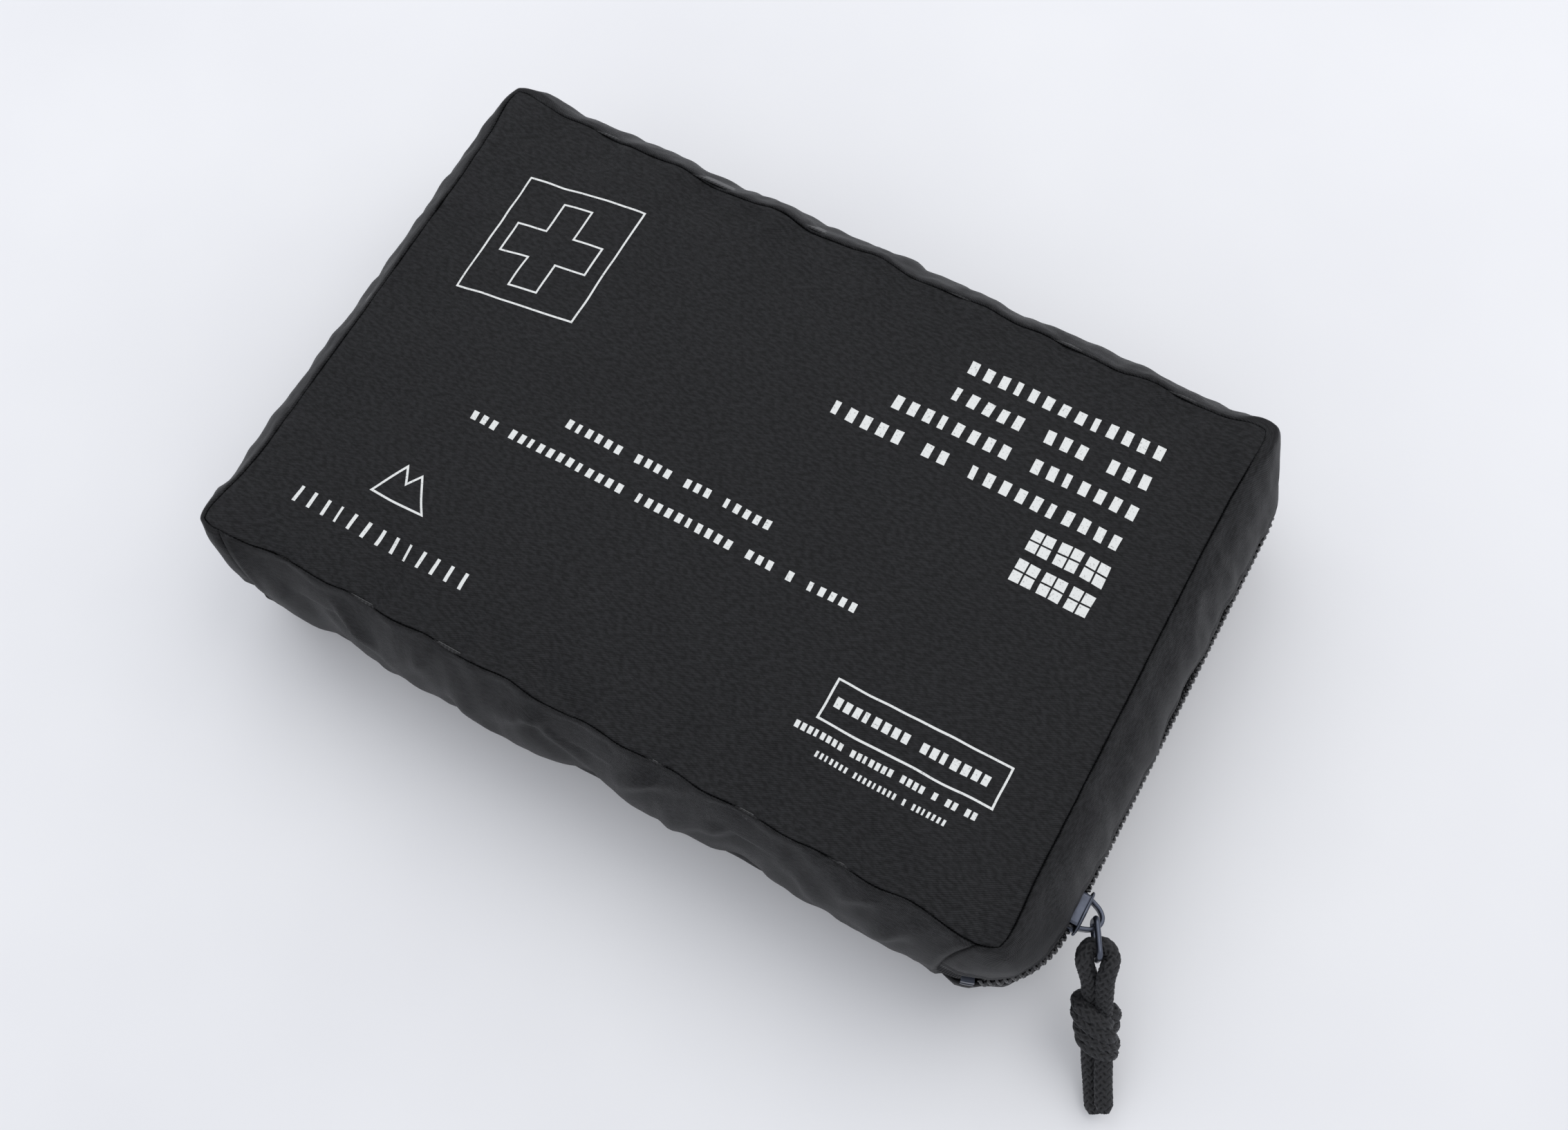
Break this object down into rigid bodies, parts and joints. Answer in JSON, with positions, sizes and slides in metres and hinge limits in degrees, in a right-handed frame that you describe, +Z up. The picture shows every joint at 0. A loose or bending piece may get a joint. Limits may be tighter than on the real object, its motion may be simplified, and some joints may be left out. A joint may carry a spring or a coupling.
{
  "type": "first aid kit",
  "caption": "Soft black fabric first aid pouch that zips round three sides and opens like a book, with dressings, bandages and scissors inside.",
  "frame": {"origin": "centre of the bottom panel's outer face, on the surface the case rests on", "axes": "+X along the long side, to the end where the zip slider parks; +Y from the fabric hinge to the back; +Z up out of the top panel"},
  "size_m": [0.2876, 0.1813, 0.06],
  "materials": {
    "case_fabric": "black twill-woven polyester, semi-matte",
    "binding_tape": "black grosgrain",
    "zip_tape": "black herringbone tape",
    "zip_coil": "glossy black nylon coil",
    "slider_metal": "dark blue-grey die-cast metal, satin",
    "pull_cord": "black braided cord",
    "bandage_gauze": "white crepe gauze",
    "dressing_wrap": "white wrapped pack, satin",
    "white_plastic": "white moulded plastic",
    "adhesive_tape": "skin-coloured woven tape",
    "wipe_foil": "foil-lined sachet",
    "paper_pouch": "white medical paper pouch",
    "blanket_foil": "gold and silver film, folded",
    "glove_film": "clear film over pale blue",
    "scissor_steel": "brushed stainless steel",
    "pocket_mesh": "black knitted mesh",
    "booklet_paper": "satin printed paper"
  },
  "bodies": {
    "base": {"base_panel": "case_fabric", "base_gusset": "case_fabric", "hinge_gusset_lower": "case_fabric", "base_seam_binding": "binding_tape", "base_zip_tape": "zip_tape", "base_zip_coil": "zip_coil", "base_zip_stop": "slider_metal", "zip_bottom_stop": "slider_metal", "bandage_rolls_wide": "bandage_gauze", "bandage_rolls_narrow": "bandage_gauze", "dressing_pack_large": "dressing_wrap", "dressing_packs_medium": "dressing_wrap", "dressing_pack_small": "dressing_wrap", "adhesive_tape_core": "white_plastic", "adhesive_tape_roll": "adhesive_tape", "wet_wipes": "wipe_foil", "compress_packs": "paper_pouch", "triangular_bandages": "dressing_wrap", "sheet_dressing": "dressing_wrap", "rescue_blanket": "blanket_foil", "gloves_pack": "glove_film", "mask_packs": "glove_film", "scissors_lower_half": "scissor_steel", "scissors_rivet": "scissor_steel"},
    "lid": {"lid_panel": "case_fabric", "lid_gusset": "case_fabric", "hinge_gusset_upper": "case_fabric", "lid_seam_binding": "binding_tape", "lid_zip_tape": "zip_tape", "lid_zip_coil": "zip_coil", "lid_zip_stop": "slider_metal", "mesh_pocket": "pocket_mesh", "pocket_elastic": "binding_tape", "booklet": "booklet_paper", "plaster_set": "paper_pouch"},
    "slider": {"slider_body": "slider_metal", "slider_bridge": "slider_metal"},
    "pull": {"pull_bail": "slider_metal", "pull_cord_left": "pull_cord", "pull_cord_right": "pull_cord", "pull_knot": "pull_cord"},
    "scissors": {"scissors_upper_half": "scissor_steel"}
  },
  "joints": [
    {"name": "lid_hinge", "type": "hinge", "parent": "base", "child": "lid", "pos_m": [0, -0.082, 0.03], "axis": [1, 0, 0], "range_deg": [0, 180]},
    {"name": "slider_travel", "type": "slide", "parent": "base", "child": "slider", "axis": [0, 1, 0], "range_m": [0, 0.108]},
    {"name": "pull_swing", "type": "hinge", "parent": "slider", "child": "pull", "pos_m": [0.1322, -0.052, 0.03], "axis": [0, 0, 1], "range_deg": [-18, 130]},
    {"name": "scissors_pivot", "type": "hinge", "parent": "base", "child": "scissors", "pos_m": [0.024, -0.001, 0.041], "axis": [0, 0, 1], "range_deg": [0, 40]}
  ]
}
